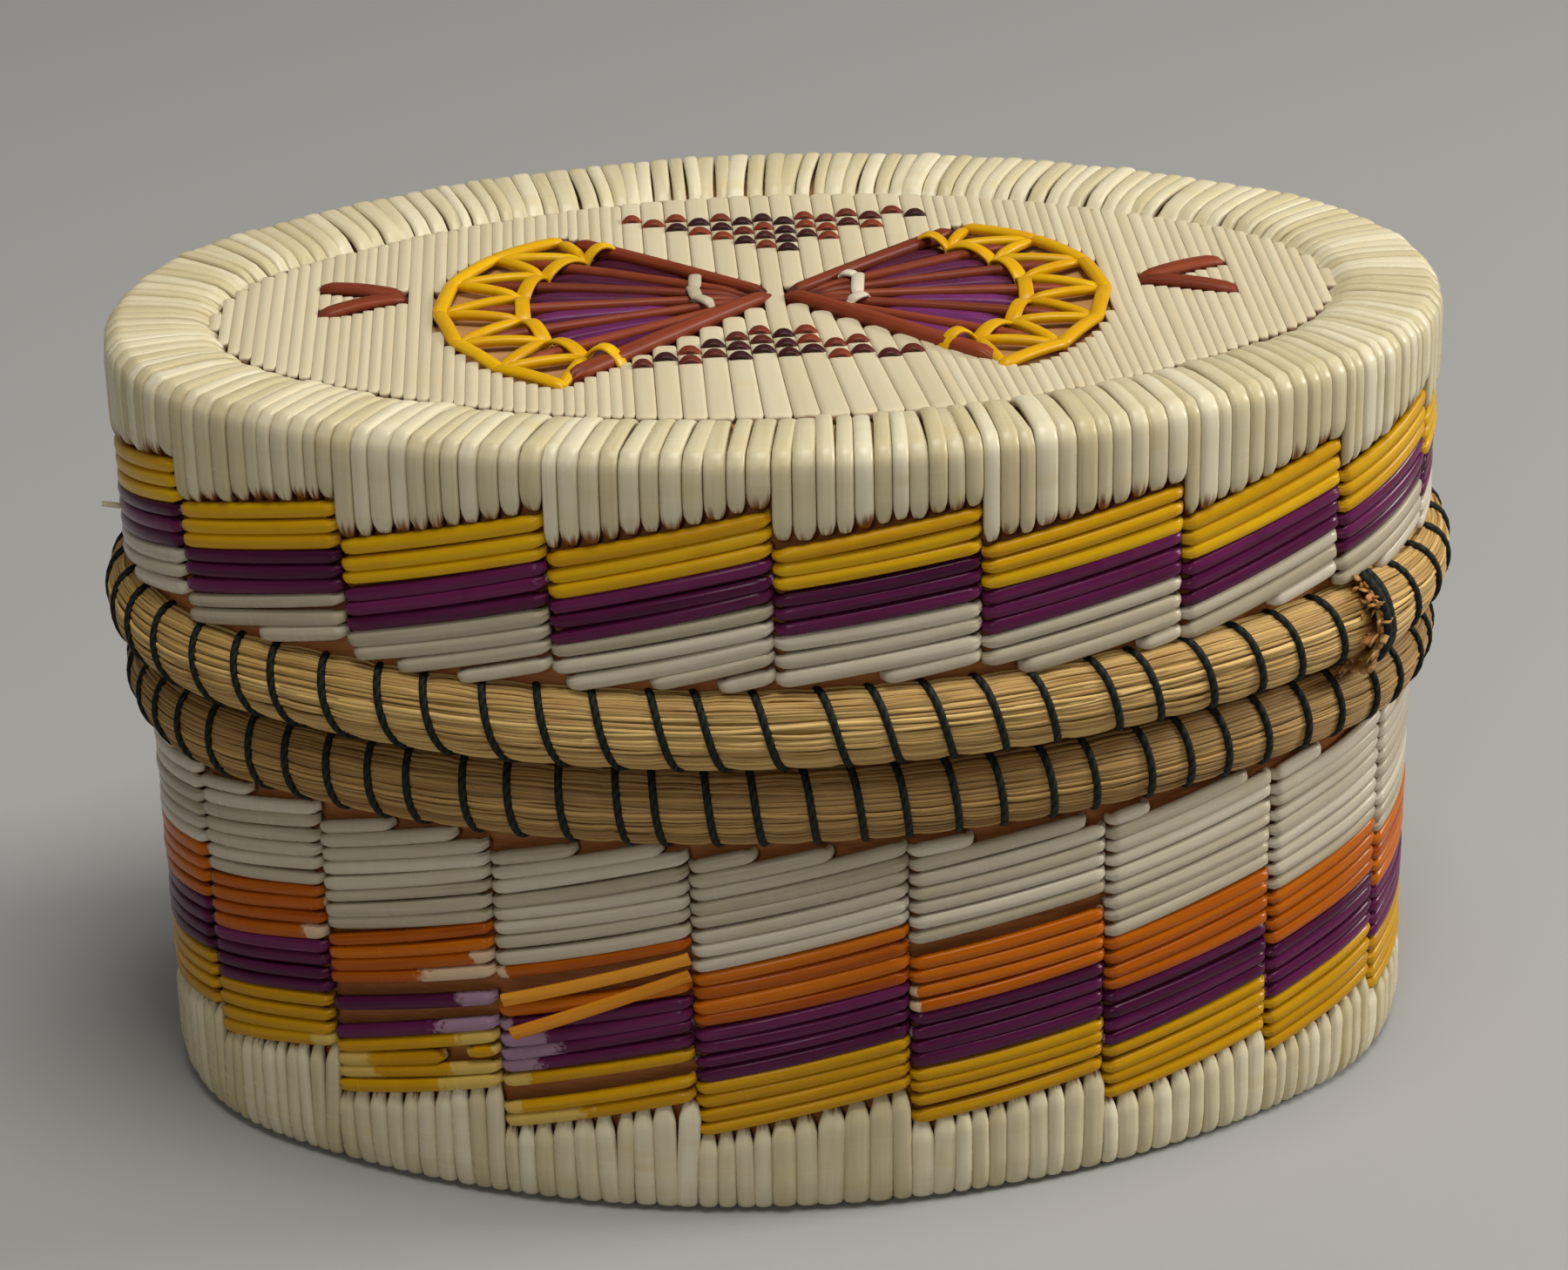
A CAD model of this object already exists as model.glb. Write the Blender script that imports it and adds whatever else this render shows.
import math

import bpy
import numpy as np
from mathutils import Matrix, Vector


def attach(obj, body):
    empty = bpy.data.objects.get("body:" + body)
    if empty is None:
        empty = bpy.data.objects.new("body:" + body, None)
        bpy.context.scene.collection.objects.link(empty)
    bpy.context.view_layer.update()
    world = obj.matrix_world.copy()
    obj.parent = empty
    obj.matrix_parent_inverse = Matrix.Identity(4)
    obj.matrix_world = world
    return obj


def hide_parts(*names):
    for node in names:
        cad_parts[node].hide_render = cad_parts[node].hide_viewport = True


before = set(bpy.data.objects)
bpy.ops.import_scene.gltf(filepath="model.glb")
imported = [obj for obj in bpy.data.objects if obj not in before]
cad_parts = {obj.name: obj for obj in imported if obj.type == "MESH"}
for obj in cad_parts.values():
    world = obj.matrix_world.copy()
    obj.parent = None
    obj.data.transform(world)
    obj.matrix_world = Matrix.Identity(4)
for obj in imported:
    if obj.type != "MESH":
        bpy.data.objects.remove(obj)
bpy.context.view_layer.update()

random = np.random.default_rng(11)
millimetre = 0.001
upright = np.array([0.0, 0.0, 1.0])
fullTurn = 2 * math.pi

# The plan is a four-arc oval in millimetres: front, right, back and left arcs, tangent where they meet.
# Insets are measured inwards from the lid's side quills and angles are those of the outward normal.
plan = {"halfLength": 64.0, "halfWidth": 40.0, "endRadius": 28.0}
endCentre = plan["halfLength"] - plan["endRadius"]
narrowing = plan["halfWidth"] - plan["endRadius"]
sideCentre = (endCentre ** 2 - narrowing ** 2) / (2 * narrowing)
sideTurn = math.atan2(endCentre, sideCentre)
arcStart = 0.5 * math.pi * np.array([-1, -1, 1, 1]) + sideTurn * np.array([-1, 1, -1, 1])
arcSweep = np.array([2 * sideTurn, math.pi - 2 * sideTurn] * 2)
arcCentre = np.array([[0.0, sideCentre], [endCentre, 0.0], [0.0, -sideCentre], [-endCentre, 0.0]])
arcRadius = np.array([sideCentre + plan["halfWidth"], plan["endRadius"]] * 2)


# Length round the oval: radius times turn, summed over the arcs
def ovalLength(inset):
    return float(((arcRadius - inset) * arcSweep).sum())


# Angle of the normal at a distance along the oval, counted to the right from the front centre
def angleAt(distance, inset):
    lengths = (arcRadius - inset) * arcSweep
    ends = np.concatenate([[0.0], np.cumsum(lengths)])
    run = np.asarray(distance, float) + lengths[0] / 2
    lap = np.floor(run / ends[-1])
    run = run - lap * ends[-1]
    which = np.clip(np.searchsorted(ends, run, side="right") - 1, 0, 3)
    return fullTurn * lap + arcStart[which] + (run - ends[which]) / (arcRadius[which] - inset)


# Number of the arc that an angle falls in
def arcOf(angle):
    turned = (np.asarray(angle, float) - arcStart[0]) % fullTurn
    return np.clip(np.searchsorted(arcStart - arcStart[0], turned, side="right") - 1, 0, 3)


# Level unit vector along the normal
def outward(angle):
    return np.stack([np.cos(angle), np.sin(angle), np.zeros_like(angle)], -1)


# Place on the oval: the arc's centre plus its radius less the inset along the normal, at a height
def onWall(angle, inset, height):
    which = arcOf(angle)
    angle, inset, height = np.broadcast_arrays(angle, inset, height)
    reach = (arcRadius[which] - inset)[..., None]
    flat = arcCentre[which] + reach * np.stack([np.cos(angle), np.sin(angle)], -1)
    return np.concatenate([flat, height[..., None]], -1)


# Vectors over their lengths
def unit(vector):
    return vector / np.maximum(np.linalg.norm(vector, axis=-1, keepdims=True), 1e-12)


# Rises from 0 at low to 1 at high, level at both
def smooth(low, high, value):
    share = np.clip((value - low) / (high - low), 0, 1)
    return share * share * (3 - 2 * share)


# Shares from 0 to 1 that crowd towards both ends
def endDense(count):
    return 0.5 - 0.5 * np.cos(np.linspace(0, math.pi, count))


# Lengths travelled along paths, from zero, given the length of each step
def travelOf(step):
    return np.concatenate([np.zeros((len(step), 1)), np.cumsum(step, axis=1)], 1)


# Size of a value to a power, with its sign kept
def signedPower(value, power):
    return np.sign(value) * np.abs(value) ** power


# Sweeps a rounded-square section along every path at once:
# vertex = path + halfWide * c(turn) * wide + halfHigh * s(turn) * high, c and s being powers of cosine, sine.
# The attribute holds the share along the path, a seed for each path, a mark, and the share round the section.
def sweep(path, high, halfWide, halfHigh, seed, mark=0.0, sides=10, power=0.65):
    count, steps = path.shape[:2]
    travel = travelOf(np.linalg.norm(np.diff(path, axis=1), axis=2))
    run = unit(np.gradient(path, axis=1))
    wide = unit(np.cross(run, high))
    high = np.cross(wide, run)
    turn = (np.arange(sides) + 0.5) / sides
    across = signedPower(np.cos(fullTurn * turn), power)
    upward = signedPower(np.sin(fullTurn * turn), power)
    halfWide = np.broadcast_to(halfWide, (count, steps))
    halfHigh = np.broadcast_to(halfHigh, (count, steps))
    verts = (path[:, :, None] + (halfWide[..., None] * across)[..., None] * wide[:, :, None]
             + (halfHigh[..., None] * upward)[..., None] * high[:, :, None])
    index = np.arange(count * steps * sides).reshape(count, steps, sides)
    after = np.roll(index, -1, axis=2)
    walls = np.stack([index[:, :-1], index[:, 1:], after[:, 1:], after[:, :-1]], -1)
    # Each end is closed by a ladder of quads between the two halves of its ring
    near = np.arange(sides // 2 - 1)
    far = sides - 1 - near
    first, last = index[:, 0], index[:, -1]
    heads = np.stack([first[:, near], first[:, near + 1], first[:, far - 1], first[:, far]], -1)
    tails = np.stack([last[:, near], last[:, far], last[:, far - 1], last[:, near + 1]], -1)
    channels = [
        (travel / travel[:, -1:])[..., None],
        np.asarray(seed, float)[:, None, None],
        np.broadcast_to(mark, (count, steps))[..., None],
        turn,
    ]
    data = np.stack([np.broadcast_to(channel, (count, steps, sides)) for channel in channels], -1)
    return {
        "verts": verts.reshape(-1, 3),
        "quads": np.concatenate([faces.reshape(-1, 4) for faces in (walls, heads, tails)]),
        "data": data.reshape(-1, 4),
    }


# Joins swept parts into one mesh that rides on a body in place of the CAD nodes
def addPiece(name, parts, material, body, nodes):
    offsets = np.cumsum([0] + [len(part["verts"]) for part in parts[:-1]])
    verts = np.concatenate([part["verts"] for part in parts]) * millimetre
    quads = np.concatenate([part["quads"] + offset for part, offset in zip(parts, offsets)]).astype(np.int32)
    data = np.concatenate([part["data"] for part in parts]).astype(np.float32)
    mesh = bpy.data.meshes.new(name)
    mesh.vertices.add(len(verts))
    mesh.vertices.foreach_set("co", verts.astype(np.float32).ravel())
    mesh.loops.add(quads.size)
    mesh.loops.foreach_set("vertex_index", quads.ravel())
    mesh.polygons.add(len(quads))
    mesh.polygons.foreach_set("loop_start", np.arange(0, quads.size, 4, dtype=np.int32))
    mesh.polygons.foreach_set("use_smooth", np.ones(len(quads), dtype=bool))
    mesh.update(calc_edges=True)
    mesh.attributes.new("quill", "FLOAT_COLOR", "POINT").data.foreach_set("color", data.ravel())
    mesh.materials.append(material)
    piece = bpy.data.objects.new(name, mesh)
    bpy.context.scene.collection.objects.link(piece)
    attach(piece, body)
    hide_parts(*nodes)
    print("made", name, len(quads), "quads")
    return piece


# Wraps one shader socket, so that shader maths reads like plain arithmetic
class Wire:
    def __init__(self, tree, socket):
        self.tree = tree
        self.socket = socket

    def make(self, kind, inputs, output=0, **settings):
        node = self.tree.nodes.new(kind)
        for key, value in settings.items():
            setattr(node, key, value)
        for key, value in inputs.items():
            if isinstance(value, Wire):
                self.tree.links.new(value.socket, node.inputs[key])
            else:
                node.inputs[key].default_value = value
        return Wire(self.tree, node.outputs[output])

    def maths(self, operation, first, second=0.0):
        return self.make("ShaderNodeMath", {0: first, 1: second}, operation=operation)

    def __add__(self, other):
        return self.maths("ADD", self, other)

    def __sub__(self, other):
        return self.maths("SUBTRACT", self, other)

    def __rsub__(self, other):
        return self.maths("SUBTRACT", other, self)

    def __mul__(self, other):
        return self.maths("MULTIPLY", self, other)

    def fraction(self):
        return self.maths("FRACT", self)

    def sine(self):
        return self.maths("SINE", self)

    def clamp(self, low=0.0, high=1.0):
        return self.make("ShaderNodeClamp", {0: self, 1: low, 2: high})

    def ramp(self, low, high):
        return self.make("ShaderNodeMapRange", {0: self, 1: low, 2: high}, interpolation_type="SMOOTHSTEP")

    def mix(self, first, second):
        return self.make("ShaderNodeMix", {0: self, 6: first, 7: second}, output=2, data_type="RGBA")

    def vector(self, x, y, z):
        return self.make("ShaderNodeCombineXYZ", {0: x, 1: y, 2: z})

    def noise(self, place, scale, detail):
        return self.make("ShaderNodeTexNoise", {"Vector": place, "Scale": scale, "Detail": detail})

    def bump(self, height, strength, depth):
        inputs = {"Height": height, "Strength": strength, "Distance": depth * millimetre}
        return self.make("ShaderNodeBump", inputs)

    def feed(self, shader, name):
        self.tree.links.new(self.socket, shader.inputs[name])


# Turns a colour as a screen shows it, 0 to 255, into the shader's own values
def linear(red, green, blue):
    shares = np.array([red, green, blue]) / 255
    values = np.where(shares <= 0.04045, shares / 12.92, ((shares + 0.055) / 1.055) ** 2.4)
    return tuple(float(v) for v in values) + (1.0,)


# A material, its main shader and a wire that shader maths starts from
def newMaterial(name):
    material = bpy.data.materials.new(name)
    material.use_nodes = True
    tree = material.node_tree
    shader = next(node for node in tree.nodes if node.type == "BSDF_PRINCIPLED")
    return material, shader, Wire(tree, shader.inputs["Base Color"])


# The four channels of the attribute: share along, seed, mark and share round
def quillChannels(start):
    stored = start.make("ShaderNodeAttribute", {}, output="Color", attribute_name="quill")
    turn = Wire(start.tree, stored.socket.node.outputs["Alpha"])
    split = start.tree.nodes.new("ShaderNodeSeparateColor")
    start.tree.links.new(stored.socket, split.inputs[0])
    along, seed, mark = (Wire(start.tree, split.outputs[i]) for i in range(3))
    return along, seed, mark, turn


quillGrain = {
    "round": 11.0, "streakRun": 1.6, "wrinkleRun": 2.0, "patchRun": 5.0, "wrinkleZone": (0.4, 0.49),
    "wrinkleTone": 1.8, "wrinkleHeight": 14.0, "patchHeight": 0.6, "patchRough": 0.14, "bump": 0.4,
    "depth": 0.07, "shine": 0.2,
}


# A quill is streaked along its length, wrinkled at its ends and other from quill to quill. Where it is marked
# it takes its end colour: in soft streaks at a stained tip, with a ragged edge where dye has flaked off
def quillMaterial(name, look):
    material, shader, start = newMaterial(name)
    along, seed, mark, turn = quillChannels(start)
    grain = quillGrain

    # Noise over the skin, stretched along the quill and other for each seed
    def skin(across, run, key, detail):
        return start.noise(start.vector(turn * across, along * run, seed * key), 1.0, detail)

    streak = skin(grain["round"], grain["streakRun"], 61.0, 4.0)
    patch = start.noise(start.vector(along * grain["patchRun"], seed * 83.0, 0.0), 1.0, 2.0)
    flake = skin(*look["flake"], 29.0, 3.0)
    wrinkle = skin(grain["round"], grain["wrinkleRun"], 43.0, 1.0)
    nearFirst = (0.5 - along).ramp(*grain["wrinkleZone"]) * look["wrinkle"][0]
    nearLast = (along - 0.5).ramp(*grain["wrinkleZone"]) * look["wrinkle"][1]
    wrinkle = (wrinkle - 0.5) * (nearFirst + nearLast)
    other = (seed * 7.31).fraction()
    pale = (streak - 0.5) * look["streak"] + (other - 0.5) * look["variety"]
    tone = (pale + wrinkle * grain["wrinkleTone"] + 0.5).clamp().mix(look["dark"], look["pale"])
    tone = (patch.ramp(0.5, 0.75) * look["patch"]).mix(tone, look["stain"])
    edge = mark + (flake - 0.5) * look["ragged"] * mark.ramp(0.02, 0.2)
    ended = edge.ramp(0.5 - look["soft"], 0.5 + look["soft"]) * look["endShare"]
    ended.mix(tone, look["end"]).feed(shader, "Base Color")
    (patch * grain["patchRough"] + look["roughness"]).feed(shader, "Roughness")
    height = streak + patch * grain["patchHeight"] + wrinkle * grain["wrinkleHeight"]
    start.bump(height, grain["bump"], grain["depth"]).feed(shader, "Normal")
    shader.inputs["Specular IOR Level"].default_value = grain["shine"]
    return material


# What most quills share; each look below adds to it or changes it
plainLook = {
    "patch": 0.4, "ragged": 0.4, "soft": 0.06, "wrinkle": (1.0, 1.0), "flake": (7.0, 30.0), "roughness": 0.2,
}
looks = {
    "cream": {
        "dark": linear(192, 178, 138), "pale": linear(226, 218, 192), "stain": linear(204, 186, 134),
        "end": linear(126, 72, 18), "endShare": 1.0, "streak": 0.8, "variety": 0.7,
        "ragged": 1.3, "soft": 0.25, "wrinkle": (0.0, 1.0), "flake": (14.0, 1.5),
    },
    "field": {
        "dark": linear(194, 180, 148), "pale": linear(214, 204, 177), "stain": linear(202, 182, 138),
        "end": linear(88, 48, 20), "endShare": 0.9, "streak": 0.6, "variety": 0.45,
        "patch": 0.3, "ragged": 0.3, "soft": 0.25, "wrinkle": (0.0, 0.0), "roughness": 0.42,
    },
    "white": {
        "dark": linear(172, 160, 136), "pale": linear(215, 206, 188), "stain": linear(190, 174, 134),
        "end": linear(190, 168, 120), "endShare": 0.4, "streak": 0.8, "variety": 0.8,
        "patch": 0.3, "soft": 0.2,
    },
    "yellow": {
        "dark": linear(174, 120, 0), "pale": linear(214, 164, 0), "stain": linear(188, 136, 0),
        "end": linear(214, 186, 104), "endShare": 0.75, "streak": 0.8, "variety": 0.35,
    },
    "lattice": {
        "dark": linear(196, 140, 2), "pale": linear(230, 184, 10), "stain": linear(204, 140, 2),
        "end": linear(214, 186, 104), "endShare": 0.5, "streak": 0.9, "variety": 0.5, "roughness": 0.24,
    },
    "orange": {
        "dark": linear(150, 62, 0), "pale": linear(206, 112, 0), "stain": linear(184, 92, 0),
        "end": linear(216, 192, 160), "endShare": 0.85, "streak": 0.9, "variety": 0.6, "patch": 0.35,
    },
    "loose": {
        "dark": linear(206, 124, 16), "pale": linear(236, 164, 52), "stain": linear(220, 144, 36),
        "end": linear(224, 190, 130), "endShare": 0.85, "streak": 0.9, "variety": 0.5,
        "patch": 0.35, "roughness": 0.26,
    },
    "purple": {
        "dark": linear(54, 6, 40), "pale": linear(108, 34, 84), "stain": linear(74, 10, 46),
        "end": linear(172, 142, 164), "endShare": 0.75, "streak": 1.0, "variety": 0.6, "roughness": 0.18,
    },
    "rib": {
        "dark": linear(96, 36, 20), "pale": linear(150, 70, 42), "stain": linear(92, 34, 20),
        "end": linear(44, 14, 10), "endShare": 0.7, "streak": 1.0, "variety": 0.5,
        "patch": 0.3, "ragged": 0.3, "soft": 0.3, "roughness": 0.36,
    },
    "fanPurple": {
        "dark": linear(64, 12, 44), "pale": linear(128, 54, 120), "stain": linear(70, 16, 30),
        "end": linear(58, 18, 14), "endShare": 0.8, "streak": 1.1, "variety": 0.8,
        "ragged": 0.3, "soft": 0.3, "roughness": 0.34,
    },
    "check": {
        "dark": linear(54, 22, 24), "pale": linear(128, 54, 30), "stain": linear(62, 26, 34),
        "end": linear(44, 18, 16), "endShare": 0.6, "streak": 0.6, "variety": 1.7,
        "patch": 0.2, "ragged": 0.2, "soft": 0.3, "roughness": 0.38,
    },
}
quillLooks = {name: quillMaterial(name + "Quill", {**plainLook, **look}) for name, look in looks.items()}
print("made quill materials")

# Column edges as distances along the oval from the front centre: those seen in the photo, the rest spaced
# evenly. Each column's bands are shifted up a little and climb to the right by an amount of their own.
lidColumns = {
    "seen": [-62.0, -43.35, -23.1, -2.65, 16.4, 36.35, 54.75, 70.0], "inset": 0.0, "count": 17,
    "shift": np.array([-0.85, -0.2, 0.8, 0.75, -0.55, -1.0, -0.9, -0.6, -0.3] + [0] * 5 + [-0.2, -0.5, -0.8]),
    "rise": np.array([4.0, 5.2, 4.7, 2.5, 2.7, 3.5, 3.5] + [3.6] * 8 + [4.0, 4.6]),
}
baseColumns = {
    "seen": [-63.35, -48.15, -30.15, -11.05, 9.5, 29.05, 47.85, 63.55], "inset": 1.25, "count": 17,
    "shift": np.array([1.3, 0.05, -0.1, 0.35, -0.05, -1.2, -1.5, -0.9, -0.4] + [0] * 5 + [0.2, 0.5, 0.9]),
    "rise": np.array([2.8, 4.6, 4.7, 4.4, 2.4, 2.9, 3.1] + [3.6] * 9 + [3.2]),
}


# Edges seen in the photo, then the rest of the way round in equal parts
def columnEdges(columns):
    seen = np.array(columns["seen"])
    hidden = columns["count"] - len(seen) + 1
    left = ovalLength(columns["inset"]) - (seen[-1] - seen[0])
    return np.concatenate([seen, seen[-1] + left * np.arange(1, hidden + 1) / hidden])


# Side quills lie along the wall from one column edge to the next, climbing to the right; each end narrows and
# sinks through the bark. Fades are lengths of bare quill at each end.
sideLook = {
    "pitch": 1.5, "slit": 0.06, "wideShare": 0.485, "halfHigh": 0.55, "sink": 0.8, "endZone": 0.75,
    "narrowZone": 1.3, "endNarrow": 0.34, "steps": 26, "jitter": 0.06, "lean": 0.16, "uneven": 0.05,
    "unlevel": 0.04, "leastFade": 0.02, "fadeSpread": 0.35,
}


def sideQuills(columns, edges, inset, rows, pitch):
    column, height, left, right, leftFade, rightFade = np.array(rows, float).T
    column = column.astype(int)
    count = len(rows)
    width = edges[column + 1] - edges[column]
    slit = sideLook["slit"] * (1 + 1.5 * random.random(count)) / width
    left = np.maximum(left, -0.5 + slit)
    right = np.minimum(right, 0.5 - slit)
    share = left[:, None] + (right - left)[:, None] * endDense(sideLook["steps"])
    angle = angleAt(edges[column][:, None] + (0.5 + share) * width[:, None], columns["inset"])
    lean = columns["rise"][column] + sideLook["lean"] * random.normal(size=count)
    bow = sideLook["jitter"] * random.normal(size=count)
    level = height + columns["shift"][column] + sideLook["jitter"] * random.normal(size=count)
    z = level[:, None] + share * lean[:, None] + bow[:, None] * np.cos(3 * share)
    fromLeft = (share - left[:, None]) * width[:, None]
    fromRight = (right[:, None] - share) * width[:, None]
    fromEnd = np.minimum(fromLeft, fromRight)
    sunk = 1 - smooth(0, sideLook["endZone"], fromEnd)
    depth = inset + sideLook["sink"] * sunk ** 2 + sideLook["unlevel"] * random.normal(size=count)[:, None]
    halfWide = sideLook["wideShare"] * pitch * (1 + sideLook["uneven"] * random.normal(size=count))[:, None]
    halfWide = halfWide * (1 - sideLook["endNarrow"] * (1 - smooth(0, sideLook["narrowZone"], fromEnd)))
    halfHigh = sideLook["halfHigh"] * (1 - 0.25 * sunk)
    mark = np.maximum(1 - fromLeft / (2 * leftFade[:, None]), 1 - fromRight / (2 * rightFade[:, None]))
    mark = np.clip(mark, 0, 1)
    path = onWall(angle, depth, z)
    return sweep(path, outward(angle), halfWide, halfHigh, random.random(count), mark, power=0.75)


# Most ends are bare for a hair only, a few for longer
def smallFade():
    return sideLook["leastFade"] + sideLook["fadeSpread"] * random.random() ** 3


# Lid bands, counted down from the top of the yellow rows; the last white rows start further along, where they
# clear the rim
lidSide = {
    "top": 71.2, "inset": 0.53, "yellow": range(0, 3), "purple": range(3, 6), "white": range(6, 11),
    "whitePitch": 1.62, "lowest": 57.0, "uneven": 0.25, "shortest": 0.18,
    "looks": {"yellow": "lattice", "purple": "purple", "white": "white"},
}
lidEdges = columnEdges(lidColumns)
for colour, look in lidSide["looks"].items():
    rows = []
    pitch = lidSide["whitePitch"] if colour == "white" else sideLook["pitch"]
    for place, row in enumerate(lidSide[colour]):
        level = lidSide["top"] - (row - place) * sideLook["pitch"] - (place + 0.5) * pitch
        for column in range(lidColumns["count"]):
            start = -0.5
            if colour == "white":
                lowest = lidSide["lowest"] + lidSide["uneven"] * random.normal()
                climb = lowest - level - lidColumns["shift"][column]
                start = max(start, climb / lidColumns["rise"][column])
            if start < 0.5 - lidSide["shortest"]:
                rows.append((column, level, start, 0.5, smallFade(), smallFade()))
    parts = [sideQuills(lidColumns, lidEdges, lidSide["inset"], rows, pitch)]
    name = "lid" + colour.capitalize() + "Quills"
    addPiece(name, parts, quillLooks[look], "lid", ["lid_" + colour + "_quills"])

# Base bands, counted up from the foot of the yellow rows; the last white rows stop short below the rim. Worn
# places, by column and row: rows that are gone, ends that have lost their dye, one quill chipped in two, and
# two orange quills that have come out of their holes at the left and stand off the wall.
baseSide = {
    "foot": 10.3, "inset": 1.77, "yellow": range(0, 4), "purple": range(4, 8), "orange": range(8, 12),
    "white": range(12, 21), "highest": 39.3, "uneven": 0.25, "shortest": 0.18,
}
gone = {(1, 2), (1, 5), (1, 7), (2, 2), (2, 9), (2, 10), (4, 12)}
faded = {
    (0, 0): (0.1, 2.4), (0, 8): (0.1, 2.2),
    (1, 0): (0.4, 6.0), (1, 1): (4.5, 5.0), (1, 3): (0.6, 4.0), (1, 4): (0.1, 6.0), (1, 6): (0.1, 3.5),
    (1, 8): (0.1, 7.5), (1, 9): (0.1, 2.0),
    (2, 0): (8.0, 0.1), (2, 1): (2.0, 0.2), (2, 3): (2.8, 0.2), (2, 4): (4.0, 0.2), (2, 5): (6.0, 0.3),
    (2, 6): (4.5, 0.2), (2, 7): (1.5, 0.2), (2, 11): (1.2, 0.1),
    (4, 8): (0.9, 0.1), (4, 9): (0.7, 0.1),
}
chipped = {"column": 1, "row": 2, "runs": [(-0.5, 0.17, 4.0, 0.3), (0.31, 0.5, 0.6, 0.6)]}
loose = {
    "column": 2, "left": [22.4, 19.2], "right": [28.2, 26.4], "start": [-0.46, -0.41], "stop": 0.49,
    "standOff": [0.4, 1.0], "seat": 0.25, "halfWide": 0.66, "halfHigh": 0.3, "steps": 20,
}
baseEdges = columnEdges(baseColumns)


# Height of the middle of a base row
def baseLevel(row):
    return baseSide["foot"] + (row + 0.5) * sideLook["pitch"]


# Loosened quills climb from left to right along the wall, and stand off it more towards the left
def looseQuills():
    climb = endDense(loose["steps"])[None]
    keys = ("start", "left", "right", "standOff")
    start, left, right, standOff = (np.array(loose[key])[:, None] for key in keys)
    share = start * (1 - climb) + loose["stop"] * climb
    width = np.diff(baseEdges)[loose["column"]]
    angle = angleAt(baseEdges[loose["column"]] + (0.5 + share) * width, baseColumns["inset"])
    off = standOff * (1 - climb) ** 1.5 + loose["seat"]
    path = onWall(angle, baseSide["inset"] - off, left * (1 - climb) + right * climb)
    return sweep(path, outward(angle), loose["halfWide"], loose["halfHigh"], np.array([0.93, 0.97]))


for colour in ("yellow", "purple", "orange", "white"):
    rows = []
    for row in baseSide[colour]:
        for column in range(baseColumns["count"]):
            stop = 0.5
            level = baseLevel(row)
            if colour == "white":
                highest = baseSide["highest"] + baseSide["uneven"] * random.normal()
                climb = highest - level - baseColumns["shift"][column]
                stop = min(stop, climb / baseColumns["rise"][column])
            fades = faded.get((column, row), (smallFade(), smallFade()))
            if (column, row) not in gone and stop > baseSide["shortest"] - 0.5:
                rows.append((column, level, -0.5, stop, *fades))
    if chipped["row"] in baseSide[colour]:
        rows += [(chipped["column"], baseLevel(chipped["row"]), *run) for run in chipped["runs"]]
    parts = [sideQuills(baseColumns, baseEdges, baseSide["inset"], rows, sideLook["pitch"])]
    if colour == "orange":
        freed = [looseQuills()]
        addPiece("baseLooseQuills", freed, quillLooks["loose"], "base", ["base_orange_quills"])
    name = "base" + colour.capitalize() + "Quills"
    addPiece(name, parts, quillLooks[colour], "base", ["base_" + colour + "_quills"])


uprightLook = {"uneven": 0.13, "narrowest": 0.7, "widest": 1.35}


# Places of the upright quills: uneven widths that fill each column
def uprightPlaces(columns, edges, perColumn):
    widths = 1 + uprightLook["uneven"] * random.normal(size=(len(edges) - 1, perColumn))
    widths = np.clip(widths, uprightLook["narrowest"], uprightLook["widest"])
    widths = widths / widths.sum(axis=1, keepdims=True)
    share = (np.cumsum(widths, axis=1) - widths / 2 - 0.5).ravel()
    size = (widths * np.diff(edges)[:, None]).ravel()
    left, span, shift, rise = (np.repeat(values, perColumn) for values in (
        edges[:-1], np.diff(edges), columns["shift"], columns["rise"]))
    return left + (0.5 + share) * span, shift + share * rise, size


# Follows straight runs through (inset, height) corners; counts gives the steps taken in each run.
# The lengths travelled and still to go come back as well.
def profileLine(corners, counts):
    values = np.stack(np.broadcast_arrays(*[value for corner in corners for value in corner]), 1)
    which = np.append(np.repeat(np.arange(len(counts)), counts), len(counts) - 1)
    part = np.append(np.concatenate([np.arange(steps) / steps for steps in counts]), 1.0)
    kinds = (values[:, ::2], values[:, 1::2])
    inset, height = (kind[:, which] * (1 - part) + kind[:, which + 1] * part for kind in kinds)
    travelled = travelOf(np.hypot(np.diff(inset, axis=1), np.diff(height, axis=1)))
    return inset, height, travelled, travelled[:, -1:] - travelled


# Direction square to a path of insets and heights, away from the bark
def awayFromBark(angle, inset, height):
    out = -np.gradient(height, axis=1)[..., None]
    up = -np.gradient(inset, axis=1)[..., None]
    return out * outward(angle) + up * upright


# Width of a column at an inset, as a share of its width where the edges are measured
def roomAt(angle, inset, columns):
    radius = arcRadius[arcOf(angle)]
    return (radius - inset) / (radius - columns["inset"])


# Edge quills rise out of the seam round the field, run out over the border, crease over the lid's edge with a
# short bevel and go down to a pinched brown tip at the yellow rows
edgeLook = {
    "perColumn": 11, "seam": 9.6, "sunk": 78.2, "top": 79.42, "face": 0.3, "slant": 0.1, "tipGap": 0.1,
    "ragged": 0.35, "wideShare": 0.98, "halfHigh": 0.5, "tipZone": 2.7, "tipPinch": 0.6, "tipThin": 0.35,
    "seamZone": 1.4, "thinZone": 1.3, "seamWiden": 0.04, "seamThin": 0.3, "unlevel": 0.07, "seamUneven": 0.12,
    "faceUneven": 0.05, "slantUneven": 0.025,
}
distance, climb, size = uprightPlaces(lidColumns, lidEdges, edgeLook["perColumn"])
edgeCount = len(distance)
foot = lidSide["top"] + climb + edgeLook["tipGap"] + edgeLook["ragged"] * random.random(edgeCount)
top = edgeLook["top"] + edgeLook["unlevel"] * random.normal(size=edgeCount)
seam = edgeLook["seam"] + edgeLook["seamUneven"] * random.normal(size=edgeCount)
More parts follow.
